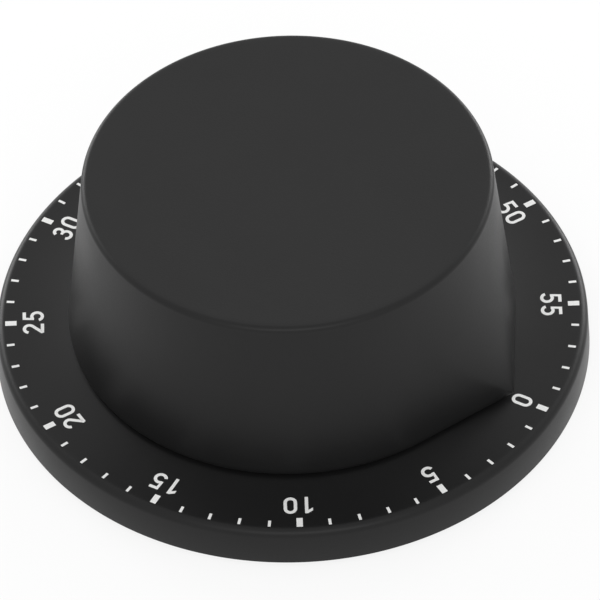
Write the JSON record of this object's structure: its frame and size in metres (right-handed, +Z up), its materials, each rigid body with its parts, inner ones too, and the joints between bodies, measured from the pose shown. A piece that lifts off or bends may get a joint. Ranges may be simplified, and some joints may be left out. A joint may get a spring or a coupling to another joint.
{
  "type": "kitchen timer",
  "caption": "Mechanical kitchen timer with a round dial base, a tall tapered turning knob with a pointer, and a clockwork with a bell inside.",
  "frame": {"origin": "middle of the underside, on the surface it stands on", "axes": "+Z up along the knob's axis, +X from the axis to the dial's zero mark"},
  "size_m": [0.08, 0.08, 0.0324],
  "materials": {
    "dial_plastic": "matt fine-grained black, with white printed minute marks and numbers",
    "knob_plastic": "satin black, finely textured",
    "cover_plastic": "matt black",
    "foot_rubber": "dull black rubber",
    "brass": "stamped brass",
    "steel": "turned steel",
    "spring_steel": "blued spring steel",
    "bell_metal": "pressed bell steel, nickelled"
  },
  "bodies": {
    "case": {"dial_case": "dial_plastic", "back_cover": "cover_plastic", "foot_ring": "foot_rubber", "cover_screws": "steel", "movement_screws": "steel", "back_plate": "brass", "front_plate": "brass", "pillars": "steel", "pillar_nuts": "steel", "main_bush": "brass", "stop_pin": "steel", "mainspring": "spring_steel", "spring_post": "steel", "gong": "bell_metal", "gong_screw": "steel", "hammer_spring": "spring_steel"},
    "winder": {"knob": "knob_plastic", "main_arbor": "steel", "arbor_clip": "steel", "knob_clip": "steel", "ratchet_wheel": "steel", "cam_disc": "brass"},
    "great": {"great_wheel": "brass", "click_stud": "steel", "click_spring": "spring_steel"},
    "click_arm": {"click": "steel"},
    "second": {"second_arbor": "steel", "second_wheel": "brass"},
    "third": {"third_arbor": "steel", "third_wheel": "brass"},
    "escape": {"escape_arbor": "steel", "escape_wheel": "brass"},
    "pallets": {"pallet_arbor": "steel", "pallet_lever": "brass", "pallet_pins": "steel", "inertia_bar": "brass"},
    "hammer": {"hammer_arbor": "steel", "hammer_arm": "steel", "hammer_head": "brass", "hammer_follower": "steel"}
  },
  "joints": [
    {"name": "knob_turn", "type": "hinge", "parent": "case", "child": "winder", "pos_m": [0, 0, 0.02], "axis": [0, 0, -1], "range_deg": [0, 354]},
    {"name": "great_wheel_turn", "type": "hinge", "parent": "case", "child": "great", "pos_m": [0, 0, 0.02], "axis": [0, 0, -1], "range_deg": [0, 354]},
    {"name": "click_pivot", "type": "hinge", "parent": "great", "child": "click_arm", "pos_m": [-0.00073, 0.00837, 0.018], "axis": [0, 0, 1], "range_deg": [0, 8], "stiffness_Nm_per_rad": 0.0002},
    {"name": "second_wheel_turn", "type": "hinge", "parent": "case", "child": "second", "pos_m": [0.00765, 0.01325, 0.018], "axis": [0, 0, -1], "range_deg": [-2655, 0]},
    {"name": "third_wheel_turn", "type": "hinge", "parent": "case", "child": "third", "pos_m": [-0.0017, 0.01541, 0.018], "axis": [0, 0, -1], "range_deg": [0, 18585]},
    {"name": "escape_wheel_turn", "type": "hinge", "parent": "case", "child": "escape", "pos_m": [-0.00941, 0.01356, 0.018], "axis": [0, 0, -1], "range_deg": [-148680, 0]},
    {"name": "pallet_swing", "type": "hinge", "parent": "case", "child": "pallets", "pos_m": [-0.01584, 0.00956, 0.018], "axis": [0, 0, 1], "range_deg": [-5, 5]},
    {"name": "hammer_swing", "type": "hinge", "parent": "case", "child": "hammer", "pos_m": [-0.01229, -0.0086, 0.018], "axis": [0, 0, 1], "range_deg": [0, 5]}
  ],
  "couplings": [
    {"joint": "great_wheel_turn", "follows": "knob_turn", "ratio": 1},
    {"joint": "second_wheel_turn", "follows": "knob_turn", "ratio": -7.5},
    {"joint": "third_wheel_turn", "follows": "knob_turn", "ratio": 52.5},
    {"joint": "escape_wheel_turn", "follows": "knob_turn", "ratio": -420}
  ]
}
